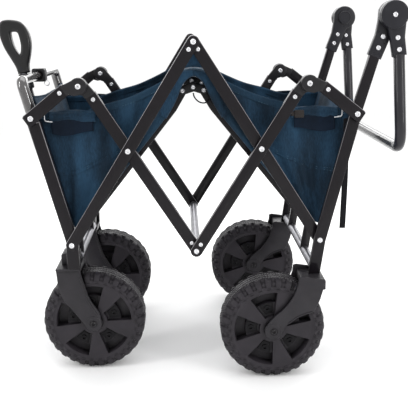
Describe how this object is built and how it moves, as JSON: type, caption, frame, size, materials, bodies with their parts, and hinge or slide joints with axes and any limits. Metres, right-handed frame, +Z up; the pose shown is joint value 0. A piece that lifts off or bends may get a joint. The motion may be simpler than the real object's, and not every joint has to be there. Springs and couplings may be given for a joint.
{
  "type": "folding beach cart",
  "caption": "Folding fabric beach cart, half folded, with scissor sides, swivelling front casters, wide wheels, a telescoping pull handle and a locking push handle.",
  "frame": {"origin": "on the ground, below the middle of the overall length and width", "axes": "+X towards the push handle, +Y towards the side away from the viewer, +Z up"},
  "size_m": [0.9653, 0.588, 0.8799],
  "materials": {
    "bar_paint": "satin",
    "frame_paint": "gloss",
    "moulded": "matte",
    "wheel_body": "matte",
    "navy_cloth": "woven",
    "dark_web": "webbing",
    "bright_tube": "brushed"
  },
  "bodies": {
    "front_end": {"front_frame": "frame_paint", "front_cross_tube": "bright_tube", "caster_socket_near": "moulded", "caster_socket_far": "moulded", "front_panel": "navy_cloth", "front_pocket": "navy_cloth", "rail_clip": "moulded", "handle_bracket": "moulded", "side_wall_near": "navy_cloth", "side_wall_far": "navy_cloth"},
    "rear_end": {"rear_post_near": "frame_paint", "rear_post_far": "frame_paint", "rear_cross_tube": "bright_tube", "hub_fixed_near": "moulded", "hub_fixed_far": "moulded", "rear_panel": "navy_cloth", "rear_strap": "dark_web", "fork_rear_near": "moulded", "fork_rear_far": "moulded"},
    "front_rising": {"bar_front_rising_near": "bar_paint", "bar_front_rising_far": "bar_paint"},
    "rear_rising": {"bar_rear_rising_near": "bar_paint", "bar_rear_rising_far": "bar_paint"},
    "front_dropping": {"bar_front_dropping_near": "bar_paint", "bar_front_dropping_far": "bar_paint", "apex_cross_tube": "frame_paint"},
    "rear_dropping": {"bar_rear_dropping_near": "bar_paint", "bar_rear_dropping_far": "bar_paint"},
    "front_links": {"link_front_near": "bar_paint", "link_front_far": "bar_paint"},
    "rear_links": {"link_rear_near": "bar_paint", "link_rear_far": "bar_paint"},
    "floor_front": {"floor_bar_front_near": "bar_paint", "floor_bar_front_far": "bar_paint", "floor_panel_front": "navy_cloth", "floor_peak_fabric": "navy_cloth"},
    "floor_rear": {"floor_bar_rear_near": "bar_paint", "floor_bar_rear_far": "bar_paint", "floor_panel_rear": "navy_cloth", "lift_cord": "dark_web"},
    "push_handle": {"push_handle": "frame_paint", "hub_moving_near": "moulded", "hub_moving_far": "moulded"},
    "pull_outer": {"handle_outer_tube": "frame_paint"},
    "pull_inner": {"handle_inner_tube": "bright_tube", "grip": "moulded"},
    "caster_near": {"fork_front_near": "moulded"},
    "wheel_front_near": {"tyre_front_near": "wheel_body", "wheel_disc_front_near": "wheel_body"},
    "wheel_rear_near": {"tyre_rear_near": "wheel_body", "wheel_disc_rear_near": "wheel_body"},
    "button_near": {"release_button_near": "moulded"},
    "caster_far": {"fork_front_far": "moulded"},
    "wheel_front_far": {"tyre_front_far": "wheel_body", "wheel_disc_front_far": "wheel_body"},
    "wheel_rear_far": {"tyre_rear_far": "wheel_body", "wheel_disc_rear_far": "wheel_body"},
    "button_far": {"release_button_far": "moulded"}
  },
  "joints": [
    {"name": "fold", "type": "hinge", "parent": "front_end", "child": "front_rising", "pos_m": [-0.29293, 0, 0.333], "axis": [0, 1, 0], "range_deg": [-5, 22], "deforming": ["side_wall_near", "side_wall_far", "floor_peak_fabric"]},
    {"name": "apex", "type": "hinge", "parent": "front_rising", "child": "rear_rising", "pos_m": [0, 0, 0.79637], "axis": [0, 1, 0], "range_deg": [-44.1, 10.1]},
    {"name": "rear_foot", "type": "hinge", "parent": "rear_rising", "child": "rear_end", "pos_m": [0.29293, 0, 0.333], "axis": [0, 1, 0], "range_deg": [-5.1, 22.1]},
    {"name": "front_cross", "type": "hinge", "parent": "front_rising", "child": "front_dropping", "pos_m": [-0.15309, 0, 0.55421], "axis": [0, 1, 0], "range_deg": [-44.1, 10.1]},
    {"name": "rear_cross", "type": "hinge", "parent": "rear_rising", "child": "rear_dropping", "pos_m": [0.15309, 0, 0.55421], "axis": [0, 1, 0], "range_deg": [-10.1, 44.1]},
    {"name": "front_elbow", "type": "hinge", "parent": "front_dropping", "child": "front_links", "pos_m": [-0.25811, 0, 0.70254], "axis": [0, 1, 0], "range_deg": [-16.8, 73.4]},
    {"name": "rear_elbow", "type": "hinge", "parent": "rear_dropping", "child": "rear_links", "pos_m": [0.25811, 0, 0.70254], "axis": [0, 1, 0], "range_deg": [-73.4, 16.8]},
    {"name": "front_floor", "type": "hinge", "parent": "front_rising", "child": "floor_front", "pos_m": [-0.29293, 0, 0.333], "axis": [0, 1, 0], "range_deg": [-6.1, 26.5]},
    {"name": "rear_floor", "type": "hinge", "parent": "rear_rising", "child": "floor_rear", "pos_m": [0.29293, 0, 0.333], "axis": [0, 1, 0], "range_deg": [-26.5, 6.1]},
    {"name": "push_swing", "type": "hinge", "parent": "rear_end", "child": "push_handle", "pos_m": [0.4395, 0, 0.8485], "axis": [0, 1, 0], "range_deg": [-160, 0]},
    {"name": "pull_swing", "type": "hinge", "parent": "front_end", "child": "pull_outer", "pos_m": [-0.336, 0, 0.296], "axis": [0, 1, 0], "range_deg": [-78, 0]},
    {"name": "pull_slide", "type": "slide", "parent": "pull_outer", "child": "pull_inner", "axis": [-0.2113, 0, 0.9774], "range_m": [0, 0.28]},
    {"name": "swivel_near", "type": "hinge", "parent": "front_end", "child": "caster_near", "pos_m": [-0.309, -0.167, 0.264], "axis": [0, 0, 1], "continuous": true},
    {"name": "spin_front_near", "type": "hinge", "parent": "caster_near", "child": "wheel_front_near", "pos_m": [-0.255, -0.167, 0.125], "axis": [0, 1, 0], "continuous": true},
    {"name": "spin_rear_near", "type": "hinge", "parent": "rear_end", "child": "wheel_rear_near", "pos_m": [0.179, -0.239, 0.125], "axis": [0, 1, 0], "continuous": true},
    {"name": "press_near", "type": "slide", "parent": "rear_end", "child": "button_near", "axis": [0, -1, 0], "range_m": [0, 0.003], "stiffness_N_per_m": 600},
    {"name": "swivel_far", "type": "hinge", "parent": "front_end", "child": "caster_far", "pos_m": [-0.309, 0.167, 0.264], "axis": [0, 0, 1], "continuous": true},
    {"name": "spin_front_far", "type": "hinge", "parent": "caster_far", "child": "wheel_front_far", "pos_m": [-0.255, 0.167, 0.125], "axis": [0, 1, 0], "continuous": true},
    {"name": "spin_rear_far", "type": "hinge", "parent": "rear_end", "child": "wheel_rear_far", "pos_m": [0.179, 0.239, 0.125], "axis": [0, 1, 0], "continuous": true},
    {"name": "press_far", "type": "slide", "parent": "rear_end", "child": "button_far", "axis": [0, 1, 0], "range_m": [0, 0.003], "stiffness_N_per_m": 600}
  ],
  "couplings": [
    {"joint": "apex", "follows": "fold", "ratio": -2},
    {"joint": "rear_foot", "follows": "fold", "ratio": 1},
    {"joint": "front_cross", "follows": "fold", "ratio": -2},
    {"joint": "rear_cross", "follows": "fold", "ratio": 2},
    {"joint": "front_elbow", "follows": "fold", "ratio": 3.33},
    {"joint": "rear_elbow", "follows": "fold", "ratio": -3.33},
    {"joint": "front_floor", "follows": "fold", "ratio": 1.2},
    {"joint": "rear_floor", "follows": "fold", "ratio": -1.2}
  ]
}
